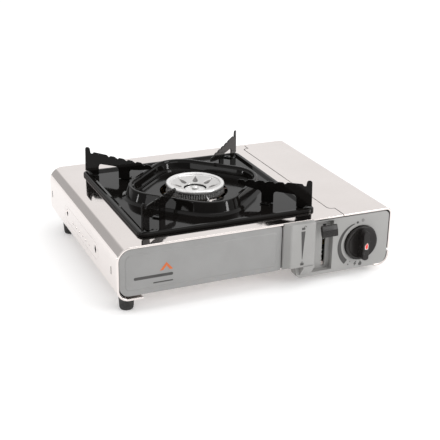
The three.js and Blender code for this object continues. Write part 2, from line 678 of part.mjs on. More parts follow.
add('foot_front_left', 'rubber', foot(-153.8, -121, LEFT_CLEARANCE - GAP));
add('foot_rear_left', 'rubber', foot(-153.8, 109, LEFT_CLEARANCE - GAP));
add('foot_front_right', 'rubber', foot(146, -112, BAY_CLEARANCE - GAP));
add('foot_rear_right', 'rubber', foot(146, 109, BAY_CLEARANCE - GAP));

stove.position.y = BODY_OFFSET_Y;

export default stove;
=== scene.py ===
import json
import math

import bmesh
import bpy
from mathutils import Matrix, Vector
from mathutils.geometry import tessellate_polygon


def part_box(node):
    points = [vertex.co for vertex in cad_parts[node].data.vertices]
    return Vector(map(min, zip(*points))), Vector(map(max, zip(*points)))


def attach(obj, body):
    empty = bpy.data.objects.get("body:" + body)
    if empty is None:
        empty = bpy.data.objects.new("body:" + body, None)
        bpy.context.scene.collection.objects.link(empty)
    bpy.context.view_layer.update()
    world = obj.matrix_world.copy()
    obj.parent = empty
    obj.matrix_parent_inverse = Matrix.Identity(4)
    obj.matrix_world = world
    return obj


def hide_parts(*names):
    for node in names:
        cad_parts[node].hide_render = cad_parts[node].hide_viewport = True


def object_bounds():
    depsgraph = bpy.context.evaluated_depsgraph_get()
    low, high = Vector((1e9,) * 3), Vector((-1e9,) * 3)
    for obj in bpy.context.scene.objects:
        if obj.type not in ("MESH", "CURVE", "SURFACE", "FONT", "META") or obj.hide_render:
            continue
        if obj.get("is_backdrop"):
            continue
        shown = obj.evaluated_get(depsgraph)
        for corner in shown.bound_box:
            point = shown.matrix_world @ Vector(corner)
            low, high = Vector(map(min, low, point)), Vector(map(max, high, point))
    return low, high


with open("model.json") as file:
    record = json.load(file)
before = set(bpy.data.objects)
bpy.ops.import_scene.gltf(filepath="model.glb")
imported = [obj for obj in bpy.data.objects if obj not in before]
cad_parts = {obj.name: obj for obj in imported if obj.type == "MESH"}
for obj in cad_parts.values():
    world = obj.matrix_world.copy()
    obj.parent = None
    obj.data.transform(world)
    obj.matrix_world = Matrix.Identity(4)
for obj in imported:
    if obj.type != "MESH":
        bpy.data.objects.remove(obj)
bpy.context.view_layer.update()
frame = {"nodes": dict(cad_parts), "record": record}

# ---------------------------------------------------------------- studio
# A pale seamless floor under a white surround that is darker on the left and in front, with
# soft boxes high up and on the right and three weak lamps low at the sides.
MM = 0.001
scene = bpy.context.scene
scene.view_settings.view_transform = "Standard"

surround = bpy.data.worlds.new("white_surround")
surround.use_nodes = True
scene.world = surround
tree = surround.node_tree
direction = tree.nodes.new("ShaderNodeTexCoord")
upward = tree.nodes.new("ShaderNodeSeparateXYZ")
tree.links.new(direction.outputs["Generated"], upward.inputs[0])


def fade(value, start, end, low, high):
    """A smooth step of the surround's brightness between two directions."""
    ramp = tree.nodes.new("ShaderNodeMapRange")
    for socket, number in zip(("From Min", "From Max", "To Min", "To Max"), (start, end, low, high)):
        ramp.inputs[socket].default_value = number
    tree.links.new(value, ramp.inputs["Value"])
    return ramp.outputs["Result"]


def work(operation, first, second):
    made = tree.nodes.new("ShaderNodeMath")
    made.operation = operation
    tree.links.new(first, made.inputs[0])
    tree.links.new(second, made.inputs[1])
    return made.outputs[0]


to_left = fade(upward.outputs["X"], -0.13, -0.2, 0, 0.72)
to_front = fade(upward.outputs["Y"], 0.1, -0.4, 0, 1)
not_right = fade(upward.outputs["X"], 0.6, 0.1, 0.3, 1)
shade = work("MAXIMUM", to_left, work("MULTIPLY", to_front, not_right))
below = fade(upward.outputs["Z"], 0.40, 0.52, 1, 0)
dimming = work("MULTIPLY", shade, below)
backdrop = tree.nodes["Background"]
backdrop.inputs["Color"].default_value = (1, 1, 1, 1)
tree.links.new(fade(dimming, 0, 1, 0.97, 0.33), backdrop.inputs["Strength"])


def soft_box(name, place, target, size, power):
    lamp = bpy.data.lights.new(name, "AREA")
    lamp.shape = "DISK"
    lamp.size = size
    lamp.energy = power
    holder = bpy.data.objects.new(name, lamp)
    scene.collection.objects.link(holder)
    holder.location = place
    holder.rotation_mode = "QUATERNION"
    holder.rotation_quaternion = (Vector(target) - Vector(place)).to_track_quat("-Z", "Y")


soft_box("soft_box_high", (0.4, -0.4, 1.9), (0.1, 0, 0.05), 1.0, 4.5)
soft_box("soft_box_right", (1.2, -1.3, 0.8), (0, 0, 0.05), 0.7, 9)
soft_box("strip_left", (-1.45, 0.3, 0.16), (0, 0, 0.1), 0.14, 1.0)
soft_box("strip_front", (1.0, -1.1, 0.28), (0, 0, 0.1), 0.2, 2)
soft_box("panel_left", (-1.35, -0.55, 0.34), (0, 0, 0.1), 0.34, 0.9)

FLOOR_HALF = 8
FLOOR_Z = -0.0002        # just under the feet
floor_mesh = bpy.data.meshes.new("floor")
floor_mesh.from_pydata(
    [(x * FLOOR_HALF, y * FLOOR_HALF, FLOOR_Z) for x, y in ((-1, -1), (1, -1), (1, 1), (-1, 1))],
    [], [(0, 1, 2, 3)])
studio_floor = bpy.data.objects.new("floor", floor_mesh)
scene.collection.objects.link(studio_floor)
floor_paint = bpy.data.materials.new("pale_floor")
floor_paint.use_nodes = True
floor_shader = floor_paint.node_tree.nodes["Principled BSDF"]
floor_shader.inputs["Base Color"].default_value = (0.93, 0.93, 0.93, 1)
floor_shader.inputs["Emission Color"].default_value = (1, 1, 1, 1)
floor_shader.inputs["Emission Strength"].default_value = 0.2
floor_shader.inputs["Roughness"].default_value = 0.9
floor_shader.inputs["Specular IOR Level"].default_value = 0.1
floor_mesh.materials.append(floor_paint)
studio_floor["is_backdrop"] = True

# The camera stands to the left of the front, a little above, and is tipped by a degree.
turn, rise, tip = (math.radians(a) for a in (-23.703, 22.145, 0.913))
back = Vector((math.sin(turn) * math.cos(rise), -math.cos(turn) * math.cos(rise), math.sin(rise)))
level = Vector((math.cos(turn), math.sin(turn), 0))
overhead = back.cross(level)
right = level * math.cos(tip) + overhead * math.sin(tip)
up = overhead * math.cos(tip) - level * math.sin(tip)
lens = bpy.data.cameras.new("camera")
lens.lens = 80.69
camera = bpy.data.objects.new("camera", lens)
scene.collection.objects.link(camera)
camera.matrix_world = Matrix.Translation((-0.45044, -1.04177, 0.50012)) @ Matrix(
    (right, up, back)).transposed().to_4x4()
scene.camera = camera

# ---------------------------------------------------------------- casing
# One stainless sheet is bent over the top, round the left shoulder and under the floor; its
# front and rear edges are rolled inwards. It is slotted for air, and pressed with dimples.
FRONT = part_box("top_shell")[0].y / MM
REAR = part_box("top_shell")[1].y / MM
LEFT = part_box("top_shell")[0].x / MM
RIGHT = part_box("cartridge_lid")[1].x / MM
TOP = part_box("top_shell")[1].z / MM
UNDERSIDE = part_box("top_shell")[0].z / MM
SHEET = 1.2
HEM = 2.6                # how far the rolled edge turns in
HEM_DEPTH = 3
SHOULDER_R = 17
CURL_R = 14
FLAP = 30                # how far the sheet runs in under the floor
TONGUE_FRONT = -111.7    # the seam steps aside at both ends
TONGUE_REAR = 130.2
SEAM = 96.2
SEAM_END = 103.8
WELL_R = 50
CUT = 6                  # how far a cut reaches above and below the top plate
SIDE_CUT = 4
AIR_SLOTS = (-113, 136)
LOUVRES = (-55, 63.5)
DIMPLE_R = 2.5
DIMPLE_DEPTH = 1.0


def middle_of(node):
    """The middle of a node's box seen from above, in millimetres."""
    low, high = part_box(node)
    return Vector(((low.x + high.x) / 2 / MM, (low.y + high.y) / 2 / MM, 0))


BURNER = middle_of("burner_cap")


def rounded(corners, steps=8, closed=True):
    """Points along a line of (x, y, radius) corners, each corner an arc of equal steps."""
    points = []
    for i, corner in enumerate(corners):
        here = Vector(corner[:2])
        radius = corner[2] if len(corner) > 2 else 0
        if radius == 0 or (not closed and i in (0, len(corners) - 1)):
            points.append(here)
            continue
        before = (Vector(corners[i - 1][:2]) - here).normalized()
        after = (Vector(corners[(i + 1) % len(corners)][:2]) - here).normalized()
        half = before.angle(after) / 2
        middle = here + (before + after).normalized() * radius / math.sin(half)
        start = here + before * radius / math.tan(half) - middle
        end = here + after * radius / math.tan(half) - middle
        a0 = math.atan2(start.y, start.x)
        sweep = (math.atan2(end.y, end.x) - a0 + math.pi) % (2 * math.pi) - math.pi
        for k in range(steps + 1):
            a = a0 + sweep * k / steps
            points.append(middle + radius * Vector((math.cos(a), math.sin(a))))
    return points


def oblong(x0, y0, x1, y1, radius=0.0, steps=8):
    return rounded([(x0, y0, radius), (x1, y0, radius), (x1, y1, radius), (x0, y1, radius)], steps)


def disc(x, y, radius, sides=48):
    return [Vector((x + radius * math.cos(2 * math.pi * i / sides),
                    y + radius * math.sin(2 * math.pi * i / sides))) for i in range(sides)]


def piece(name, points, faces):
    """A new object from points in millimetres, with its faces turned outwards."""
    mesh = bpy.data.meshes.new(name)
    mesh.from_pydata([tuple(c * MM for c in p) for p in points], [], faces)
    whole = bmesh.new()
    whole.from_mesh(mesh)
    bmesh.ops.recalc_face_normals(whole, faces=whole.faces)
    whole.to_mesh(mesh)
    whole.free()
    made = bpy.data.objects.new(name, mesh)
    scene.collection.objects.link(made)
    return made


# Where a flat outline's (u, v) and its depth w go for each direction of extrusion.
PLACES = {
    "x": lambda u, v, w: (w, u, v),
    "y": lambda u, v, w: (u, w, v),
    "z": lambda u, v, w: (u, v, w),
}


def prism(name, outline, along, start, end, holes=()):
    loops = [outline, *holes]
    place = PLACES[along]
    flat = [p for loop in loops for p in loop]
    caps = tessellate_polygon([[Vector((p[0], p[1], 0)) for p in loop] for loop in loops])
    count = len(flat)
    points = [place(p[0], p[1], start) for p in flat] + [place(p[0], p[1], end) for p in flat]
    faces = []
    if holes:
        faces += [tuple(t) for t in caps] + [tuple(i + count for i in reversed(t)) for t in caps]
    else:
        faces += [tuple(range(count)), tuple(range(2 * count - 1, count - 1, -1))]
    first = 0
    for loop in loops:
        size = len(loop)
        for i in range(size):
            a, b = first + i, first + (i + 1) % size
            faces.append((a, b, b + count, a + count))
        first += size
    return piece(name, points, faces)


def loft(name, rings, ends=True, wrap=False):
    """A skin over rings of equal length; the ends are capped unless the rings close up."""
    size = len(rings[0])
    points = [p for ring in rings for p in ring]
    faces = []
    for r in range(len(rings) if wrap else len(rings) - 1):
        a, b = r * size, (r + 1) % len(rings) * size
        for i in range(size):
            j = (i + 1) % size
            faces.append((a + i, a + j, b + j, b + i))
    if ends and not wrap:
        faces += [tuple(range(size)), tuple(range(len(points) - 1, len(points) - 1 - size, -1))]
    return piece(name, points, faces)


def settle(made):
    """Turns the modifiers' result into the object's own plain mesh."""
    bpy.context.view_layer.update()
    graph = bpy.context.evaluated_depsgraph_get()
    mesh = bpy.data.meshes.new_from_object(made.evaluated_get(graph))
    made.modifiers.clear()
    made.data = mesh
    return made


def combine(made, others, operation="DIFFERENCE"):
    for other in others:
        step = made.modifiers.new("combine", "BOOLEAN")
        step.operation = operation
        step.solver = "EXACT"
        step.object = other
    settle(made)
    for other in others:
        bpy.data.objects.remove(other)
    return made


def join(made, others):
    """Puts other pieces' meshes into this one, each staying a closed shell of its own."""
    whole = bmesh.new()
    for each in (made, *others):
        whole.from_mesh(each.data)
    whole.to_mesh(made.data)
    whole.free()
    for other in others:
        bpy.data.objects.remove(other)
    return made


def soften(made, edge=0.0, segments=2, sharp=35):
    """Breaks hard edges by a small radius in millimetres and shades the flats flat."""
    if edge:
        bevel = made.modifiers.new("edge", "BEVEL")
        bevel.width = edge * MM
        bevel.segments = segments
        bevel.limit_method = "ANGLE"
        bevel.angle_limit = math.radians(sharp)
        bevel.use_clamp_overlap = True
        settle(made)
    for face in made.data.polygons:
        face.use_smooth = True
    made.data.set_sharp_from_angle(angle=math.radians(sharp))
    weighted = made.modifiers.new("shading", "WEIGHTED_NORMAL")
    weighted.keep_sharp = True
    return settle(made)


def coat(made, *finishes):
    """Gives a piece its finish in place of any that its cuts left on it."""
    made.data.materials.clear()
    for each in finishes:
        made.data.materials.append(each)


def inward(line):
    """Unit normals on the right of travel along an open line, mitred at the corners."""
    normals = []
    for i, p in enumerate(line):
        found = []
        for q, r in ((line[max(i - 1, 0)], p), (p, line[min(i + 1, len(line) - 1)])):
            if (r - q).length > 1e-9:
                step = (r - q).normalized()
                found.append(Vector((step.y, -step.x)))
        mitre = sum(found, Vector((0, 0)))
        normals.append(mitre * len(found) / mitre.length_squared)
    return normals


def bent(name, line, section):
    """A section of (depth inwards, y) carried along a bent line of (x, z)."""
    return loft(name, [[(p.x + n.x * d, y, p.y + n.y * d) for d, y in section]
                       for p, n in zip(line, inward(line))])


def rolled_sheet(name, line):
    """A sheet bent along a line of (x, z), with both long edges rolled inwards."""
    section = rounded([
        (0, FRONT, 0.9), (HEM, FRONT, 0.7), (HEM, FRONT + HEM_DEPTH, 0.2), (SHEET, FRONT + HEM_DEPTH),
        (SHEET, REAR - HEM_DEPTH), (HEM, REAR - HEM_DEPTH, 0.2), (HEM, REAR, 0.7), (0, REAR, 0.9)], 4)
    return bent(name, line, section)


shell_line = rounded([
    (SEAM_END, TOP), (LEFT, TOP, SHOULDER_R), (LEFT, UNDERSIDE, CURL_R), (LEFT + FLAP, UNDERSIDE)],
    16, closed=False)
shell_line.reverse()
top_shell = rolled_sheet("top_shell_sheet", shell_line)


def vector_node(nodes, links, operation, first, second):
    made = nodes.new("ShaderNodeVectorMath")
    made.operation = operation
    links.new(first, made.inputs[0])
    links.new(second, made.inputs["Scale" if operation == "SCALE" else 1])
    return made.outputs[0]


def copying_tree(name, inputs, layout):
    """A tree that puts Count copies of its piece where layout works out from each one's index."""
    tree = bpy.data.node_groups.new(name, "GeometryNodeTree")
    tree.is_modifier = True
    for label, kind in (("Piece", "Geometry"), ("Count", "Int"), *inputs, ("Finish", "Material")):
        tree.interface.new_socket(label, in_out="INPUT", socket_type=f"NodeSocket{kind}")
    tree.interface.new_socket("Copies", in_out="OUTPUT", socket_type="NodeSocketGeometry")
    nodes, links = tree.nodes, tree.links
    given = nodes.new("NodeGroupInput")
    points = nodes.new("GeometryNodePoints")
    index = nodes.new("GeometryNodeInputIndex")
    put = nodes.new("GeometryNodeInstanceOnPoints")
    real = nodes.new("GeometryNodeRealizeInstances")
    paint = nodes.new("GeometryNodeSetMaterial")
    result = nodes.new("NodeGroupOutput")
    position, facing = layout(nodes, links, given.outputs, index.outputs[0])
    links.new(given.outputs["Count"], points.inputs["Count"])
    links.new(position, points.inputs["Position"])
    links.new(points.outputs[0], put.inputs["Points"])
    links.new(given.outputs["Piece"], put.inputs["Instance"])
    if facing:
        links.new(facing, put.inputs["Rotation"])
    links.new(put.outputs[0], real.inputs[0])
    links.new(real.outputs[0], paint.inputs["Geometry"])
    links.new(given.outputs["Finish"], paint.inputs["Material"])
    links.new(paint.outputs[0], result.inputs[0])
    return tree


def row_layout(nodes, links, given, index):
    """Places along a straight line, Step apart."""
    along = vector_node(nodes, links, "SCALE", given["Step"], index)
    return vector_node(nodes, links, "ADD", given["Start"], along), None


row_of_pieces = copying_tree("row_of_pieces", (("Start", "Vector"), ("Step", "Vector")), row_layout)


def repeat(made, tree, **values):
    """Runs a copying tree on a piece with the given inputs, in metres."""
    step = made.modifiers.new("repeat", "NODES")
    step.node_group = tree
    for socket in tree.interface.items_tree:
        key = socket.name.replace(" ", "_").lower()
        if socket.in_out == "INPUT" and key in values:
            step[socket.identifier] = values[key]
    return settle(made)


def noise(nodes, links, place, scale, detail=3.0, stretch=None):
    """Cloudy variation, stretched along an axis where a grain runs that way."""
    cloud = nodes.new("ShaderNodeTexNoise")
    cloud.inputs["Scale"].default_value = scale
    cloud.inputs["Detail"].default_value = detail
    source = place.outputs["Object"]
    if stretch:
        scaled = nodes.new("ShaderNodeMapping")
        scaled.inputs["Scale"].default_value = stretch
        links.new(source, scaled.inputs["Vector"])
        source = scaled.outputs["Vector"]
    links.new(source, cloud.inputs["Vector"])
    return cloud.outputs["Fac"]


def spread(nodes, links, value, low, high, from_low=0.35, from_high=0.65):
    ranged = nodes.new("ShaderNodeMapRange")
    ranged.inputs["From Min"].default_value = from_low
    ranged.inputs["From Max"].default_value = from_high
    ranged.inputs["To Min"].default_value = low
    ranged.inputs["To Max"].default_value = high
    links.new(value, ranged.inputs["Value"])
    return ranged.outputs["Result"]


def finish(name, shades, metallic, gloss, patches, grain, depth, stretch=None, **sockets):
    """A surface that drifts between two shades and two roughnesses over a fine grain."""
    made = bpy.data.materials.new(name)
    made.use_nodes = True
    nodes, links = made.node_tree.nodes, made.node_tree.links
    shader = nodes["Principled BSDF"]
    place = nodes.new("ShaderNodeTexCoord")
    colour = nodes.new("ShaderNodeMix")
    colour.data_type = "RGBA"
    colour.inputs["A"].default_value = (*shades[0], 1)
    colour.inputs["B"].default_value = (*shades[1], 1)
    drift = noise(nodes, links, place, patches)
    links.new(spread(nodes, links, drift, 0, 1), colour.inputs["Factor"])
    links.new(colour.outputs["Result"], shader.inputs["Base Color"])
    wear = noise(nodes, links, place, patches * 3.1, 5)
    links.new(spread(nodes, links, wear, *gloss), shader.inputs["Roughness"])
    fine = noise(nodes, links, place, grain, 2, stretch)
    relief = nodes.new("ShaderNodeBump")
    relief.inputs["Distance"].default_value = depth * MM
    relief.inputs["Strength"].default_value = 0.6
    links.new(fine, relief.inputs["Height"])
    links.new(relief.outputs["Normal"], shader.inputs["Normal"])
    shader.inputs["Metallic"].default_value = metallic
    for socket, value in sockets.items():
        shader.inputs[socket.replace("_", " ")].default_value = value
    return made


polished_steel = finish(
    "polished_steel", ((0.80, 0.745, 0.72), (0.77, 0.715, 0.69)), 1.0, (0.06, 0.11), 14, 900, 0.0015,
    stretch=(1, 0.08, 1))

DIMPLE_ROW = {"count": 6, "start": (LEFT * MM, -29 * MM, 44.5 * MM), "step": (0, 13.5 * MM, 0),
              "finish": polished_steel}
dimple_cut = loft("dimple", [[
    (DIMPLE_DEPTH * math.cos(t), DIMPLE_R * math.sin(t) * math.cos(a), DIMPLE_R * math.sin(t) * math.sin(a))
    for a in [2 * math.pi * i / 16 for i in range(16)]] for t in [math.pi * k / 8 for k in range(1, 8)]])
repeat(dimple_cut, row_of_pieces, **DIMPLE_ROW)
well_cut = prism("well", disc(BURNER.x, BURNER.y, WELL_R, 96), "z", TOP - CUT, TOP + CUT)
tongue_cut = prism(
    "tongue", oblong(SEAM, TONGUE_FRONT, SEAM + 30, TONGUE_REAR, 6), "z", TOP - CUT, TOP + CUT)
slot_cuts = [prism("slot", oblong(y - 1.2, 43, y + 1.2, 52.5, 1.1), "x", LEFT - SIDE_CUT, LEFT + SIDE_CUT)
             for y in AIR_SLOTS]
pierced = prism("pierced", disc(0, 0, 1.0, 16), "x", -2, 4)
repeat(pierced, row_of_pieces, **DIMPLE_ROW)
louvre_cuts = [prism("louvre", rounded([
    (y - 3.4, 49, 0.8), (y - 1, 43.5, 0.8), (y + 3.2, 48, 0.8), (y + 1.2, 54.5, 0.8)]),
    "x", LEFT - SIDE_CUT, LEFT + SIDE_CUT) for y in LOUVRES]
outline_cut = prism("outline", oblong(-66, 37, 75, 58, 10), "x", LEFT - 1, LEFT + 0.08,
                    [oblong(-65, 38, 74, 57, 9)])
combine(top_shell, [well_cut, tongue_cut, *slot_cuts, *louvre_cuts, dimple_cut, outline_cut])
combine(top_shell, [pierced])
soften(top_shell)
coat(top_shell, polished_steel)
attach(top_shell, "casing")
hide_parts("top_shell")

# ---------------------------------------------------------------- cartridge lid
# The same steel, hinged low on the right. A tongue of the lid fills the gap in the top
# plate, so that the seam runs straight between two rounded steps.
LID_R = 8
SEAM_GAP = 1.1
CREASE_X = 110
LID_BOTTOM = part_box("lid_hinge_pin_front")[1].z / MM + 0.8
TRIM_LEFT = SEAM - 9
HINGE_X, HINGE_Z = 168.2, 26
HINGES = (-84, 98)
PIN_HOLE_R = 1.1
BARREL_R = 1.8
BARREL_HALF = 11
lid_line = rounded([
    (RIGHT, LID_BOTTOM), (RIGHT, TOP, LID_R), (CREASE_X + 0.9, TOP), (CREASE_X, TOP - 0.22),
    (CREASE_X - 0.9, TOP), (SEAM - 3, TOP)], 14, closed=False)
lid_line.reverse()
lid = rolled_sheet("cartridge_lid_sheet", lid_line)
edge_x = SEAM + SEAM_GAP
end_x = SEAM_END + SEAM_GAP
trims = [prism("trim", rounded([
    (TRIM_LEFT, past_end), (end_x, past_end), (end_x, step_y), (edge_x, step_y, 5.3), (edge_x, meeting),
    (TRIM_LEFT, meeting)]), "z", TOP - CUT, TOP + CUT) for past_end, step_y, meeting in (
        (FRONT - 5, TONGUE_FRONT + SEAM_GAP, 0), (REAR + 5, TONGUE_REAR - SEAM_GAP, -1))]
combine(lid, trims)
for middle in HINGES:
    barrel = prism("barrel", disc(HINGE_X, HINGE_Z, BARREL_R, 24), "y", middle - BARREL_HALF,
                   middle + BARREL_HALF, [disc(HINGE_X, HINGE_Z, PIN_HOLE_R, 24)])
    join(lid, [barrel])
soften(lid)
coat(lid, polished_steel)
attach(lid, "lid")
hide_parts("cartridge_lid")

# ---------------------------------------------------------------- floor pan and rear plate
# The floor is a second steel sheet: shallow under the burner, stepped down under the
# cartridge and curled up on the right, where its front edge shows. The rear plate is slotted.
PAN_TOP = UNDERSIDE + SHEET + 0.4
PAN_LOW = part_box("base_pan")[0].z / MM
PAN_STEP = 88
PAN_WALL = 23.7
PAN_FRONT = -122.3
PAN_REAR = 144.2
PAN_LEFT = -180          # well past the sheet's left edge
CURL_START = RIGHT - CURL_R - 6
AIR_HOLES = (-100, -60, -20, 20)
LUG_SPACE = 13           # from the middle of a hinge to its lugs
pan_line = rounded([
    (-154, PAN_TOP), (PAN_STEP, PAN_TOP, 2), (PAN_STEP, PAN_LOW, 2.5), (RIGHT, PAN_LOW, CURL_R),
    (RIGHT, PAN_WALL)], 12, closed=False)
pan_line.reverse()
pan = bent("floor_pan_sheet", pan_line, [(0, FRONT), (SHEET, FRONT), (SHEET, REAR), (0, REAR)])
curl_line = rounded(
    [(CURL_START, PAN_LOW), (RIGHT, PAN_LOW, CURL_R), (RIGHT, PAN_WALL)], 12, closed=False)
curl_line.reverse()
hems = [bent("curl_hem", curl_line, rounded([
    (SHEET - 0.2, y), (HEM, y, 0.6), (HEM, y + HEM_DEPTH, 0.6), (SHEET - 0.2, y + HEM_DEPTH)], 3))
    for y in (FRONT, REAR - HEM_DEPTH)]
pan_cuts = [
    prism("front_reveal", oblong(PAN_LEFT, FRONT - 5, 40, PAN_FRONT), "z", 5, 30),
    prism("plate_reveal", oblong(39, FRONT - 5, CURL_START, FRONT + 14), "z", 5, 30),
    prism("rear_reveal", oblong(PAN_LEFT, PAN_REAR, CURL_START, REAR + 5), "z", 5, 30)]
pan_cuts += [prism("air_hole", oblong(x - 12, 67, x + 12, 73, 2.9), "z", 12, 30) for x in AIR_HOLES]
combine(pan, pan_cuts)
upstand = prism("upstand", oblong(-152, PAN_TOP + 0.3, 26, PAN_TOP + 7, 1), "y", PAN_FRONT,
                PAN_FRONT + SHEET)
lug_outline = rounded([(160, 12), (168.6, 12, 1), (168.6, 28.4, 1.3), (165.8, 28.4, 1.3), (160, 16)], 4)
lugs = [prism("lug", lug_outline, "y", y - 1, y + 1, [disc(HINGE_X, HINGE_Z, PIN_HOLE_R, 16)])
        for middle in HINGES for y in (middle - LUG_SPACE, middle + LUG_SPACE)]
join(pan, [upstand, *lugs, *hems])
soften(pan)
coat(pan, polished_steel)
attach(pan, "casing")
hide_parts("base_pan")

rear_low, rear_high = (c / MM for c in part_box("rear_panel"))
rear_outline = rounded([
    (rear_low.x, 18.7, 12.2), (PAN_STEP - 1.6, 18.7), (PAN_STEP - 1.6, rear_low.z, 1),
    (rear_high.x, rear_low.z, 12.2), (rear_high.x, rear_high.z, 6.4), (rear_low.x, rear_high.z, 15.4)],
    10)
rear = prism("rear_plate", rear_outline, "y", rear_low.y, rear_high.y,
             [oblong(x - 12, z, x + 12, z + 6, 3) for z in (34, 52) for x in range(-126, 60, 45)])
soften(rear, 0.25, 2)
coat(rear, polished_steel)
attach(rear, "casing")
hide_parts("rear_panel")

# ---------------------------------------------------------------- front plate
# A pressed plate in satin grey paint, set inside the casing's rolled edge, with a raised
# field. A small tent mark and two plain bars are printed low on the left.
PLATE_LEFT = LEFT + HEM + 0.3
PLATE_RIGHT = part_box("front_panel")[1].x / MM
PLATE_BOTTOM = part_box("front_panel")[0].z / MM
PLATE_TOP = TOP - HEM - 0.3
PLATE_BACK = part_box("front_panel")[1].y / MM
PLATE_Y = FRONT + 1
FIELD_Y = PLATE_Y - 0.7
LOWER_R = 12
UPPER_R = 14.4
PLATE_RIGHT_R = 3.5
PRINT = 0.12             # how far a printed sign stands out


def plate_ring(inset, y):
    corners = [
        (PLATE_LEFT + inset, PLATE_BOTTOM + inset, max(LOWER_R - inset, 2)),
        (PLATE_RIGHT - inset, PLATE_BOTTOM + inset, PLATE_RIGHT_R),
        (PLATE_RIGHT - inset, PLATE_TOP - inset, PLATE_RIGHT_R),
        (PLATE_LEFT + inset, PLATE_TOP - inset, max(UPPER_R - inset, 2))]
    return [(p.x, y, p.y) for p in rounded(corners, 10)]


front_plate = loft("front_plate", [
    plate_ring(1.2, PLATE_BACK), plate_ring(0, PLATE_BACK), plate_ring(0, PLATE_Y + 0.8),
    plate_ring(0.25, PLATE_Y + 0.25), plate_ring(0.8, PLATE_Y), plate_ring(6.2, PLATE_Y),
    plate_ring(6.8, PLATE_Y - 0.12), plate_ring(7.4, PLATE_Y - 0.55), plate_ring(8.2, FIELD_Y),
    plate_ring(9.4, FIELD_Y)])
inner = loft("hollow", [plate_ring(1.2, PLATE_BACK + 2), plate_ring(1.2, PLATE_Y + 1.2)])
combine(front_plate, [inner])
soften(front_plate)

satin_paint = finish(
    "satin_grey_paint", ((0.305, 0.302, 0.298), (0.285, 0.282, 0.277)), 0.15, (0.42, 0.52), 30, 2600,
    0.03, Specular_IOR_Level=0.35)
nodes, links = satin_paint.node_tree.nodes, satin_paint.node_tree.links
flakes = nodes.new("ShaderNodeTexVoronoi")
flakes.inputs["Scale"].default_value = 1500
place = next(n for n in nodes if n.type == "TEX_COORD")
links.new(place.outputs["Object"], flakes.inputs["Vector"])
links.new(spread(nodes, links, flakes.outputs["Distance"], 0.05, 0.25, 0.1, 0.6),
          nodes["Principled BSDF"].inputs["Metallic"])
coat(front_plate, satin_paint)
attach(front_plate, "casing")
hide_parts("front_panel")

orange_ink = finish("orange_ink", ((0.62, 0.14, 0.03), (0.56, 0.12, 0.025)), 0.0, (0.35, 0.5), 60,
                    1800, 0.01)
dark_ink = finish("dark_ink", ((0.045, 0.043, 0.042), (0.06, 0.057, 0.055)), 0.0, (0.4, 0.55), 60,
                  1800, 0.01)
tent = prism("tent_mark", [(-121, 47.5), (-113.5, 56.5), (-106, 47.5), (-109.8, 47.5),
                           (-113.5, 52.6), (-117.2, 47.5)], "y", FIELD_Y - PRINT, FIELD_Y)
soften(tent)
coat(tent, orange_ink)
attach(tent, "casing")
bars = prism("printed_bars", oblong(-151, 40.2, -106, 43.6, 1.6), "y", FIELD_Y - PRINT, FIELD_Y)
short_bar = prism("short_bar", oblong(-129, 33.4, -106, 34.8, 0.6), "y", FIELD_Y - PRINT, FIELD_Y)
join(bars, [short_bar])
soften(bars)
coat(bars, dark_ink)
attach(bars, "casing")

# ---------------------------------------------------------------- control plate
# One grey moulding: the proud block beside the lock lever, the lever's channel with its
# dark slot, and the flat field with the knob's shallow well.
CONTROL_RIGHT = RIGHT - HEM - 1
CONTROL_TOP = TOP - HEM - 1
CONTROL_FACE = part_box("control_panel")[0].y / MM + 9
BLOCK_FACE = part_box("control_panel")[0].y / MM
CONTROL_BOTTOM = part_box("control_panel")[0].z / MM
CHANNEL_FLOOR = -124.5
FLANGE_BACK = -119.3
KNOB_X, KNOB_Z = 129.5, 41.1
CONTROL_LEFT = 26.6
SHALLOW_BOTTOM = 23      # the plate's lower edge beside the step
BLOCK_LEFT = 27
BLOCK_RIGHT = 64.2
CHANNEL_RIGHT = 92
WELL_AT_KNOB_R = 22
SPINDLE_HOLE_R = 8


def control_outline(inset):
    left, right = CONTROL_LEFT + inset, CONTROL_RIGHT - inset
    low, top = CONTROL_BOTTOM + inset, CONTROL_TOP - inset
    return rounded([
        (left, SHALLOW_BOTTOM + inset, 2), (44 + inset, SHALLOW_BOTTOM + inset, 2), (47 + inset, low, 5),
        (right, low, 12.2 - inset), (right, top, 6.4 - inset), (left, top, 2)])


def block_plan(inset, behind):
    face, right = BLOCK_FACE + inset, BLOCK_RIGHT - inset
    return rounded([
        (BLOCK_LEFT + inset, behind), (BLOCK_LEFT + inset * 1.5, CONTROL_FACE - 1.5),
        (BLOCK_LEFT + 6 + inset, face, 4), (right, face, 1.5), (right, behind)])


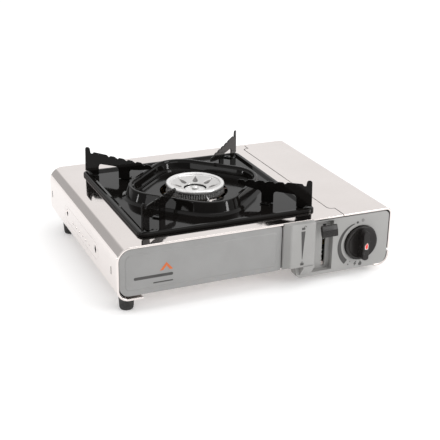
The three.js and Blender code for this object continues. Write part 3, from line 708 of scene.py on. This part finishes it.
control = prism("control_plate", control_outline(0), "y", CONTROL_FACE, CONTROL_FACE + 2.5)
raised = [
    prism("flange", control_outline(0), "y", CONTROL_FACE + 1, FLANGE_BACK, [control_outline(2)]),
    prism("block", block_plan(0, CONTROL_FACE + 1), "z", 26.5, TOP - 0.3),
    prism("block_foot", rounded([
        (CONTROL_FACE + 1, 10), (CONTROL_FACE + 1, 27), (BLOCK_FACE, 27), (BLOCK_FACE, 24, 2)]),
        "x", 50, BLOCK_RIGHT),
    prism("channel_walls", oblong(BLOCK_RIGHT - 2, 10.5, CHANNEL_RIGHT + 2, CONTROL_TOP - 1),
          "y", CONTROL_FACE + 0.5, CHANNEL_FLOOR + 2)]
combine(control, raised, "UNION")
removed = [
    prism("overhang", oblong(20, FRONT - 1, 70, FRONT + 10), "z", TOP - HEM - 0.6, TOP + 5),
    prism("block_hollow", block_plan(2, FRONT + 10), "z", 28.5, TOP - 4),
    prism("channel", oblong(BLOCK_RIGHT, 13, CHANNEL_RIGHT, 75, 1), "y", BLOCK_FACE - 5, CHANNEL_FLOOR),
    prism("lever_slot", oblong(82.2, 15.5, 86.7, 68.5, 0.6), "y", BLOCK_FACE - 5, CHANNEL_FLOOR + 8),
    prism("knob_well", disc(KNOB_X, KNOB_Z, WELL_AT_KNOB_R, 96), "y", BLOCK_FACE, CONTROL_FACE + 1.5),
    prism("spindle_hole", disc(KNOB_X, KNOB_Z, SPINDLE_HOLE_R, 48), "y", BLOCK_FACE, CONTROL_FACE + 8)]
combine(control, removed)
soften(control, 0.7, 3)
grey_moulding = finish(
    "grey_moulding", ((0.335, 0.33, 0.322), (0.315, 0.31, 0.301)), 0.0, (0.36, 0.46), 40, 1500, 0.03)
coat(control, grey_moulding)
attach(control, "casing")
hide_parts("control_panel")

# Printed on the moulding: a wedge between an open and a closed padlock, and round the knob
# a widening scale, with a dot and a ring for off at the top and a spark and a flame below.
SIGN_SINK = 0.02         # how far a sign on the block reaches into it
SCALE_R = 25.9
SCALE_STEPS = 40


def sign(outline, face=CONTROL_FACE, holes=()):
    return prism("printed_sign", outline, "y", face - PRINT, face, holes)


def padlock(x, z, lift, shift):
    """A body with a hoop above it, shifted aside and closed below where the lock is open."""
    arc = [(x + shift + r * math.cos(a), z + lift + r * math.sin(a))
           for r, turns in ((1.5, range(9)), (0.9, range(8, -1, -1)))
           for a in [math.pi * k / 8 for k in turns]]
    foot = 1.1
    hoop = [(x + shift + 1.5, z + foot), *arc[:9], (x + shift - 1.5, z + foot),
            (x + shift - 0.9, z + foot), *arc[9:], (x + shift + 0.9, z + foot)]
    return [sign(oblong(x - 2.1, z - 1.6, x + 2.1, z + 1.2, 0.4, 3), BLOCK_FACE + SIGN_SINK),
            sign(hoop, BLOCK_FACE + SIGN_SINK)]


signs = sign([(45.2, 70.7), (50.4, 70.7), (47.9, 36.5), (47.4, 36.5)], BLOCK_FACE + SIGN_SINK)
scale_turns = [math.radians(20 + 3 * k) for k in range(SCALE_STEPS + 1)]
scale_widths = [0.7 + 5.6 * (k / SCALE_STEPS) ** 0.65 for k in range(SCALE_STEPS + 1)]
inner_arc = [(KNOB_X - SCALE_R * math.sin(a), KNOB_Z + SCALE_R * math.cos(a)) for a in scale_turns]
outer_arc = [(KNOB_X - (SCALE_R + w) * math.sin(a), KNOB_Z + (SCALE_R + w) * math.cos(a))
             for a, w in zip(scale_turns, scale_widths)]
join(signs, [
    *padlock(47.8, 74.2, 1.6, 2.4), *padlock(47.8, 30.4, 1.6, 0),
    sign(inner_arc + outer_arc[::-1]),
    sign(disc(124, 67, 1.5, 20)),
    sign(disc(131, 69, 1.7, 24), holes=[disc(131, 69, 1.05, 24)]),
    sign(disc(114.3, 15, 0.9, 16)),
    sign(disc(116.8, 18.3, 0.6, 12)),
    sign([(124.6, 17.6), (121.6, 14), (123.6, 14.2), (122.4, 11), (126.2, 15), (124.2, 14.8), (126, 17.6)]),
    sign(rounded([(129, 11.4, 1), (132.6, 11.4, 1), (133.2, 14, 0.8), (130.6, 18), (130.2, 15.6, 0.4),
                  (128.4, 14, 0.8)], 3))])
signs.name = "printed_signs"
soften(signs)
coat(signs, dark_ink)
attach(signs, "casing")

# ---------------------------------------------------------------- knob
# A black moulded knob: a round skirt, and across it a deep grip bar with a red flame mark.
KNOB_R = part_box("knob")[1].x / MM - KNOB_X
KNOB_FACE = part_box("knob")[0].y / MM
GRIP_FACE = KNOB_FACE + 0.16
SKIRT_BACK = -131.3
SKIRT_FACE = SKIRT_BACK - 4.7
GRIP_HALF = Vector((4.6, 18.4))
GRIP_R = 3.9


def turned(name, profile, centre, along="z", sides=96):
    """A turned piece from a closed or axis-ended profile of (radius, distance along)."""
    cx, cy = centre
    place = PLACES[along]
    points, rows, faces = [], [], []
    for r, w in profile:
        if r < 1e-6:
            rows.append([len(points)] * sides)
            points.append(place(cx, cy, w))
        else:
            rows.append(list(range(len(points), len(points) + sides)))
            points += [place(cx + r * math.cos(2 * math.pi * i / sides),
                             cy + r * math.sin(2 * math.pi * i / sides), w) for i in range(sides)]
    ringed = profile[0][0] > 1e-6
    for k in range(len(rows) if ringed else len(rows) - 1):
        a, b = rows[k], rows[(k + 1) % len(rows)]
        for i in range(sides):
            j = (i + 1) % sides
            corners = [a[i], a[j], b[j], b[i]]
            unique = [c for n, c in enumerate(corners) if c not in corners[:n]]
            if len(unique) > 2:
                faces.append(tuple(unique))
    return piece(name, points, faces)


knob = turned("control_knob", [
    (0, SKIRT_BACK), *rounded([
        (6, SKIRT_BACK), (KNOB_R, SKIRT_BACK, 0.3), (KNOB_R, SKIRT_FACE, 1.2), (KNOB_R - 3, SKIRT_FACE, 1),
        (KNOB_R - 5, SKIRT_BACK - 4)], 5, closed=False),
    (0, SKIRT_BACK - 3.6)], (KNOB_X, KNOB_Z), "y")


def grip_ring(inset, y):
    across, tall = GRIP_HALF.x - inset, GRIP_HALF.y - inset
    return [(p.x, y, p.y) for p in oblong(
        KNOB_X - across, KNOB_Z - tall, KNOB_X + across, KNOB_Z + tall, GRIP_R - inset)]


grip = loft("grip", [
    grip_ring(0, SKIRT_BACK - 2), grip_ring(0.1, SKIRT_BACK - 5), grip_ring(0.5, GRIP_FACE + 1.5),
    grip_ring(0.7, GRIP_FACE + 0.6), grip_ring(1.1, GRIP_FACE + 0.15), grip_ring(1.8, GRIP_FACE)])
join(knob, [grip])
soften(knob)
black_moulding = finish(
    "black_moulding", ((0.012, 0.010, 0.010), (0.018, 0.016, 0.015)), 0.0, (0.2, 0.28), 50, 1400, 0.02,
    IOR=1.36)
coat(knob, black_moulding)
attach(knob, "knob_assembly")
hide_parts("knob")


def drop(name, grow, proud):
    """A flame that leans to the right, grown on all sides where it is the mark's pale edge."""
    left, right = KNOB_X - 1.6 - grow, KNOB_X + 1.6 + grow
    return prism(name, rounded([
        (left, KNOB_Z - 3 - grow, 1.4), (right, KNOB_Z - 3 - grow, 1.4), (right, KNOB_Z + 1.4, 1),
        (KNOB_X + 0.7 + grow * 0.4, KNOB_Z + 4 + grow, 0.3), (left, KNOB_Z + 1.2, 1)], 4),
        "y", GRIP_FACE - proud, GRIP_FACE + 0.1)


white_ink = finish("white_ink", ((0.8, 0.78, 0.76), (0.74, 0.72, 0.7)), 0.0, (0.4, 0.5), 60, 1800, 0.01)
red_ink = finish(
    "red_ink", ((0.85, 0.05, 0.035), (0.78, 0.045, 0.03)), 0.0, (0.35, 0.45), 60, 1800, 0.01)
mark_edge = drop("knob_mark_edge", 0.65, 0.08)
soften(mark_edge)
coat(mark_edge, white_ink)
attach(mark_edge, "knob_assembly")
mark = drop("knob_mark", 0, 0.15)
soften(mark)
coat(mark, red_ink)
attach(mark, "knob_assembly")

# ---------------------------------------------------------------- lock lever's thumb piece
# A black cap on the end of the steel lever, ribbed for the thumb. It follows the arc of the
# lever, so its face is a little curved.
LEVER_Y, LEVER_Z = -71, 46
LEVER_REST = math.radians(-16.5)
RIB_STEP = 2.6
tab_low, tab_high = (c.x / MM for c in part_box("lever_tab"))
thumb = prism("thumb_piece", rounded([
    (-72, -4, 1), (-72, 4, 1), (-73.5, 6.6, 1), (-75.6, 6.6, 1.5), (-77, 0, 6), (-76, -7.3, 1.5),
    (-73.5, -7.5, 1)]), "x", tab_low, tab_high)
soften(thumb, 1.2, 4)
rib = prism("rib", rounded([(-76.8, -3.2, 0.4), (-75, -3.2), (-75, 2.2), (-76.8, 2.2, 0.4)], 3),
            "x", -0.5, 0.5)
repeat(rib, row_of_pieces, count=5, start=((tab_low + 3) * MM, 0, 0), step=(RIB_STEP * MM, 0, 0),
       finish=black_moulding)
join(thumb, [rib])
thumb.data.transform(
    Matrix.Translation((0, LEVER_Y * MM, LEVER_Z * MM)) @ Matrix.Rotation(LEVER_REST, 4, "X"))
soften(thumb)
coat(thumb, black_moulding)
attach(thumb, "lever_assembly")
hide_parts("lever_tab")

# The slot's lower half is toothed on its left side, to hold the lever where it is pushed.
TOOTH_HALF = 0.8
tooth = prism("slot_tooth", oblong(-TOOTH_HALF, -TOOTH_HALF, TOOTH_HALF, TOOTH_HALF, 0.4, 3),
              "y", CHANNEL_FLOOR + 0.1, CHANNEL_FLOOR + 1.4)
repeat(tooth, row_of_pieces, count=4, start=(82.3 * MM, 0, 19 * MM),
       step=(0, 0, 5.6 * MM), finish=grey_moulding)
tooth.name = "slot_teeth"
soften(tooth)
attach(tooth, "casing")

# ---------------------------------------------------------------- pan support tray
# Pressed sheet in glossy black enamel: a square rim, flat corners, and a diamond-shaped
# lip round the bowl that the burner stands in.
TRAY_HALF = Vector((108, 112))
RIM_R = 9
LIP_HALF = 67
LIP_R = 38
HOLE_R = 41
NOTCH_R = 4.4
TRAY = middle_of("pan_tray")


def reach(angle, half, radius):
    """Distance from the centre to a rectangle with round corners, in the direction given."""
    c, s = abs(math.cos(angle)), abs(math.sin(angle))
    flat_x, flat_y = half[0] - radius, half[1] - radius
    if c > 1e-9 and half[0] / c * s <= flat_y:
        return half[0] / c
    if s > 1e-9 and half[1] / s * c <= flat_x:
        return half[1] / s
    along = flat_x * c + flat_y * s
    return along + math.sqrt(max(along * along - flat_x ** 2 - flat_y ** 2 + radius ** 2, 0))


def tray_reach(line, angle, grow):
    if line == "rim":
        return reach(angle, TRAY_HALF + Vector((grow, grow)), max(RIM_R + grow, 0.5))
    if line == "lip":
        return reach(angle - math.pi / 4, (LIP_HALF + grow, LIP_HALF + grow), LIP_R + grow)
    return HOLE_R + grow


# Line, growth outwards, height above the top plate and corner radius, all the way round
# the sheet's section: over the rim, field, lip and bowl to the hole, and back underneath.
TRAY_SECTION = [
    ("rim", 0, 0.4, 0), ("rim", 0, 3.2, 1.6), ("rim", -2.4, 4.3, 1.8), ("rim", -5.6, 4.2, 2.2),
    ("rim", -9.4, 1.5, 2.2), ("lip", 9.4, 1.5, 2), ("lip", 5.4, 3.6, 2.4), ("lip", 2.4, 13.2, 2),
    ("lip", 1.5, 16, 1.3), ("lip", -1.9, 16, 1.3), ("lip", -3.2, 13, 1.4), ("lip", -5.4, 6.2, 1),
    ("lip", -8.2, 5.6, 0.8), ("lip", -9.4, 3, 1), ("lip", -12.5, 2.5, 1), ("hole", 0.3, 2.2, 0.25),
    ("hole", 0, 1.3, 0.25), ("lip", -12.7, 1.5, 0.5), ("lip", -10.2, 1.8, 0.5), ("lip", -8.9, 4.6, 0.5),
    ("lip", -6, 5.2, 0.5), ("lip", -4.1, 12.6, 0.8), ("lip", -1.9, 15, 0.5), ("lip", 1.0, 15, 0.5),
    ("lip", 1.4, 12.6, 0.8), ("lip", 4.4, 3, 1), ("lip", 8.6, 0.5, 0.8), ("rim", -9.9, 0.5, 0.8),
    ("rim", -5.6, 3.1, 0.8), ("rim", -2.4, 3.2, 0.5), ("rim", -1.1, 2.6, 0.4), ("rim", -1.1, 0.4, 0)]
# A ray every two degrees, and closer together at the rim's four corners.
tray_angles = [math.radians(d) for d in range(0, 360, 2)]
corner = math.atan2(TRAY_HALF.y, TRAY_HALF.x)
for middle in (corner, math.pi - corner, math.pi + corner, 2 * math.pi - corner):
    tray_angles = [a for a in tray_angles if abs(a - middle) > math.radians(3.9)]
    tray_angles += [middle + math.radians(t * 0.45) for t in range(-8, 9)]
rings = []
for angle in sorted(tray_angles):
    section = rounded([(tray_reach(line, angle, grow), TOP + height, radius)
                       for line, grow, height, radius in TRAY_SECTION], 4)
    rings.append([(TRAY.x + p.x * math.cos(angle), TRAY.y + p.x * math.sin(angle), p.y)
                  for p in section])
tray = loft("pan_tray_pressing", rings, wrap=True)
spark = middle_of("spark_insulator")
notch = prism("notch", disc(spark.x, spark.y, NOTCH_R, 32), "z", TOP - 5, TOP + 12)
combine(tray, [notch])
soften(tray, sharp=60)
black_enamel = finish(
    "black_enamel", ((0.005, 0.0045, 0.004), (0.007, 0.006, 0.0055)), 0.0, (0.05, 0.1), 22, 160, 0.008,
    IOR=1.24)
coat(tray, black_enamel)
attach(tray, "pan_support")
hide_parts("pan_tray")

# ---------------------------------------------------------------- fins
# Four stamped fins stand on the tray's corners and point at the burner, each with an
# upright horn outside, a stepped and toothed upper edge and two legs with welded tabs.
FIN_SHEET = 1.6
FIN_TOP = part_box("fin_front_left")[1].z / MM - TOP
TOOTH_PITCH = 12.3


def fin_outline():
    corners = [
        (5.7, 5.2), (6.5, FIN_TOP, 2.6), (12.4, FIN_TOP, 3), (13.6, 28.8, 1.5), (16.4, 28.8, 1),
        (18.4, 31, 1), (36.6, 30, 1.6)]
    for tooth in range(5):
        start = 37 + tooth * TOOTH_PITCH
        crest = 29.4 - tooth * 0.8 - (0.8 if tooth == 4 else 0)
        corners += [(start + 2.6, crest - 2, 0.9), (start + 4.8, crest, 1.6),
                    (start + 10.6, crest - 0.3, 1.8)]
    corners += [
        (99.8, 22.6, 1.6), (98.4, 20.2, 1.2), (84, 17, 4), (74, 15.7, 6), (68.2, 15.7, 4.5), (68.2, 2.1),
        (53.2, 2.1), (53.2, 16.8, 4.5), (24.8, 16.8, 4.5), (24.8, 2.1), (16.2, 2.1, 0.5), (12.7, 5.2, 1)]
    return rounded(corners, 5)


diagonal = TRAY_HALF.length
for name, sx, sy in (
        ("front_left", -1, -1), ("front_right", 1, -1), ("rear_left", -1, 1), ("rear_right", 1, 1)):
    fin = prism(f"fin_{name}_stamping", fin_outline(), "y", -FIN_SHEET / 2, FIN_SHEET / 2)
    soften(fin, 0.45, 3)
    tabs = []
    for start, end, side in ((17.2, 24.4, -1), (55, 66.4, 1)):
        near, far = side * (FIN_SHEET / 2 - 0.4), side * 10
        tab = prism("tab", oblong(start, min(near, far), end, max(near, far), 0.35), "z", 1.9, 3.3)
        soften(tab, 0.4, 2)
        weld = turned("weld", [(0, 3.2), (1.9, 3.2), (1.7, 3.65), (0.9, 3.9), (0, 3.95)],
                      ((start + end) / 2, side * 6), sides=20)
        tabs += [tab, weld]
    join(fin, tabs)
    angle = math.atan2(-sy * TRAY_HALF.y, -sx * TRAY_HALF.x)
    stand = (Matrix.Translation((TRAY.x * MM, TRAY.y * MM, TOP * MM)) @ Matrix.Rotation(angle, 4, "Z")
             @ Matrix.Translation((-diagonal * MM, 0, 0)))
    fin.data.transform(stand)
    soften(fin)
    coat(fin, black_enamel)
    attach(fin, "pan_support")
    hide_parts(f"fin_{name}")

# ---------------------------------------------------------------- burner
# An iron head with a ring of narrow flame ports, under a bright steel cap: a rolled rim
# round a dish with eight pressed teardrops painted dark as painted shade, and a domed screw in the open
# middle.
burner_at = (BURNER.x, BURNER.y)
CAP_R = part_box("burner_cap")[1].x / MM - BURNER.x
CAP_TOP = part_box("burner_cap")[1].z / MM
CAP_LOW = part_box("burner_cap")[0].z / MM
DROPS = 8
OPENING_R = 13.8
DISH_R = 29.6
DISH_ROWS = 40
DROP_R = 19.8            # where each drop is widest
DROP_WIDTH = 3.4
DROP_DEPTH = 1.9


def dish_height(r):
    """Height of the dish's upper face, from the opening up to the step inside the rim."""
    share = (r - OPENING_R) / (DISH_R - OPENING_R)
    return CAP_LOW + 1.3 + 4.1 * share + 0.7 * share * share


def teardrop(r, angle):
    """Depth of the nearest pressed drop, round at its inner end and pointed outwards."""
    turn_off = angle % (2 * math.pi / DROPS) - math.pi / DROPS
    across = r * turn_off
    length = (r - DROP_R) / (9.4 if r > DROP_R else 3.6)
    width = DROP_WIDTH * max(1 - 0.85 * max(length, 0), 0.12)
    fall = (across / width) ** 2 + length ** 2
    bump_r, bump_turn = r - 28, abs(across) - 1.9
    bump = 0.5 * max(1 - (bump_r ** 2 + bump_turn ** 2) / 1.1, 0)
    return DROP_DEPTH * max(1 - fall, 0) ** 0.6 - bump


cap_profile = rounded([
    (33.2, CAP_TOP - 5.3, 0.4), (CAP_R, CAP_TOP - 4.9, 2.3), (CAP_R, CAP_TOP, 2.5),
    (30.2, CAP_TOP, 2.4), (30.2, CAP_TOP - 2.2, 0.3)], 6, closed=False)
dish_rows = [DISH_R - (DISH_R - OPENING_R) * k / DISH_ROWS for k in range(DISH_ROWS + 1)]
cap_rows = cap_profile + [(r, dish_height(r)) for r in dish_rows]
under_rows = [(r, dish_height(r) - 0.8) for r in reversed(dish_rows)] + [
    (30.0, CAP_TOP - 3.6), (31.4, CAP_TOP - 4.9)]
SIDES = 256
cap_rings = []
for i in range(SIDES):
    angle = 2 * math.pi * (i + 0.5) / SIDES
    ring = []
    for r, z in cap_rows + under_rows:
        sunk = teardrop(r, angle) if r <= DISH_R else 0
        ring.append((BURNER.x + r * math.cos(angle), BURNER.y + r * math.sin(angle),
                     min(z, CAP_TOP) - sunk))
    cap_rings.append(ring)
cap = loft("burner_cap_pressing", cap_rings, wrap=True)
soften(cap, sharp=50)
bright_steel = finish(
    "bright_burner_steel", ((0.84, 0.83, 0.82), (0.79, 0.78, 0.77)), 0.7, (0.26, 0.34), 60, 2200, 0.002)
dish_steel = finish(
    "burner_dish_steel", ((0.68, 0.67, 0.66), (0.62, 0.61, 0.60)), 0.85, (0.28, 0.36), 60, 2200, 0.002)
# The teardrops' steel is painted dark: a painted shade in the pressed drops, not the steel's own tone.
drop_painted_shade = finish(
    "shaded_burner_steel", ((0.17, 0.165, 0.16), (0.23, 0.22, 0.215)), 0.8, (0.3, 0.4), 90, 2200, 0.002)
coat(cap, bright_steel, dish_steel, drop_painted_shade)
# Faces sunk more than half a millimetre into a teardrop get the painted shade; the rest of the dish gets
# the dish steel.
for face in cap.data.polygons:
    across, along = face.center.x / MM - BURNER.x, face.center.y / MM - BURNER.y
    r = math.hypot(across, along)
    if r < DISH_R + 0.1:
        face.material_index = 2 if teardrop(r, math.atan2(along, across)) > 0.5 else 1
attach(cap, "casing")
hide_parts("burner_cap")

PORTS = 70
PORT_R = 32.2
head_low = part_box("burner_body")[0].z / MM
head = turned("burner_head", rounded([
    (7.6, head_low, 0.4), (10, head_low, 0.4), (10, 69, 1.5), (15, 71.5, 3), (31.5, 79.4, 3),
    (35.6, 81.4, 0.5), (35.6, 82.4, 0.4), (PORT_R, 82.7, 0.3), (PORT_R, 87.6, 0.3), (31, 87.6, 0.3),
    (31, 82.6, 0.5), (28, 80, 2), (13, 73.4, 2), (7.6, 70, 1)], 4), burner_at)
soften(head)
blued_iron = finish(
    "blued_iron", ((0.045, 0.04, 0.037), (0.085, 0.078, 0.07)), 0.8, (0.4, 0.6), 90, 700, 0.05)
coat(head, blued_iron)
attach(head, "casing")
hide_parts("burner_body")


def ring_layout(nodes, links, given, index):
    """Places round a circle, each copy turned to face outwards."""
    def math_node(operation, first, second=None):
        made = nodes.new("ShaderNodeMath")
        made.operation = operation
        for socket, value in zip(made.inputs, (first, second)):
            if hasattr(value, "is_output"):
                links.new(value, socket)
            elif value is not None:
                socket.default_value = value
        return made.outputs[0]

    turned_by = math_node("MULTIPLY", math_node("DIVIDE", index, given["Count"]), 2 * math.pi)
    spot = nodes.new("ShaderNodeCombineXYZ")
    links.new(math_node("MULTIPLY", math_node("COSINE", turned_by), given["Radius"]), spot.inputs["X"])
    links.new(math_node("MULTIPLY", math_node("SINE", turned_by), given["Radius"]), spot.inputs["Y"])
    facing = nodes.new("ShaderNodeCombineXYZ")
    links.new(turned_by, facing.inputs["Z"])
    return vector_node(nodes, links, "ADD", spot.outputs[0], given["Centre"]), facing.outputs[0]


web = prism("port_web", oblong(-0.3, -0.8, 1.9, 0.8, 0.35, 3), "z", 82.6, 87.6)
ring_of_pieces = copying_tree("ring_of_pieces", (("Centre", "Vector"), ("Radius", "Float")), ring_layout)
repeat(web, ring_of_pieces, count=PORTS, centre=(BURNER.x * MM, BURNER.y * MM, 0),
       radius=PORT_R * MM, finish=bright_steel)
web.name = "flame_port_webs"
soften(web)
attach(web, "casing")

core_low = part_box("burner_core")[0].z / MM
core = turned("burner_middle", [(0, core_low), (4, core_low), (5, 80.5), *rounded(
    [(5.4, 81), (12.8, 82.6, 0.4), (12.8, 83.7, 0.4), (6, 84.2), (4, 84.3)], 3, closed=False),
    (0, 84.4)], burner_at, sides=64)
soften(core)
coat(core, bright_steel)
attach(core, "casing")
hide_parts("burner_core")

screw_low, screw_top = (c.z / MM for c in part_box("burner_screw"))
screw = turned("burner_cap_screw", [(0, screw_low), *rounded(
    [(3.6, screw_low), (4.2, screw_low, 0.2), (4, screw_top - 1.6, 1.6), (1.6, screw_top, 2.4),
     (0.6, screw_top)], 6, closed=False), (0, screw_top)], burner_at, sides=48)
cross = [prism("cross", oblong(BURNER.x - across, BURNER.y - deep, BURNER.x + across, BURNER.y + deep),
               "z", screw_top - 1, screw_top + 2) for across, deep in ((2.2, 0.4), (0.4, 2.2))]
combine(screw, cross)
soften(screw)
coat(screw, bright_steel)
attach(screw, "casing")
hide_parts("burner_screw")

# ---------------------------------------------------------------- feet
# Short tapered rubber feet, tall under the shallow side and low under the cartridge bay.
rubber = finish(
    "black_rubber", ((0.018, 0.017, 0.016), (0.03, 0.028, 0.027)), 0.0, (0.6, 0.8), 80, 1200, 0.06)
for name in ("front_left", "rear_left", "front_right", "rear_right"):
    low, high = (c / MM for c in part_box(f"foot_{name}"))
    middle = (low + high) / 2
    wide = (high.x - low.x) / 2
    foot = turned(f"foot_{name}_rubber", [(0, low.z + 0.5), *rounded([
        (4.2, low.z + 0.5), (4.4, low.z, 0.1), (wide - 1.9, low.z, 1), (wide - 0.9, low.z + 2.2, 2),
        (wide, high.z, 0.5), (wide - 2, high.z)], 4, closed=False), (0, high.z)],
        (middle.x, middle.y), sides=64)
    soften(foot)
    coat(foot, rubber)
    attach(foot, "casing")
    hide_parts(f"foot_{name}")

# ---------------------------------------------------------------- inside the casing
# The partition, valve, lever work and spark parts keep their own shape and only get their
# finish: zinc-plated steel, brass, cast aluminium, ceramic and moulded plastic.
zinc_plate = finish(
    "zinc_plate", ((0.50, 0.51, 0.50), (0.42, 0.43, 0.425)), 0.9, (0.32, 0.48), 70, 1100, 0.02)
brass = finish("brass", ((0.56, 0.40, 0.16), (0.47, 0.33, 0.13)), 1.0, (0.24, 0.38), 80, 1300, 0.02)
cast_aluminium = finish(
    "cast_aluminium", ((0.52, 0.53, 0.54), (0.44, 0.45, 0.46)), 0.9, (0.4, 0.55), 90, 900, 0.08)
ceramic = finish("glazed_ceramic", ((0.80, 0.76, 0.68), (0.74, 0.70, 0.62)), 0.0, (0.2, 0.3), 60, 900, 0.02)
FINISHES = {
    "steel": polished_steel, "grey_paint": satin_paint, "zinc": zinc_plate, "grey_plastic": grey_moulding,
    "black_plastic": black_moulding, "brass": brass, "aluminium": cast_aluminium, "ceramic": ceramic,
    "burner_steel": bright_steel, "burner_iron": blued_iron, "enamel": black_enamel, "rubber": rubber}
for part in frame["record"]["subparts"]:
    node = frame["nodes"][part["node"]]
    if not node.hide_render:
        coat(node, FINISHES[part["material_slot"]])

low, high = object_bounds()
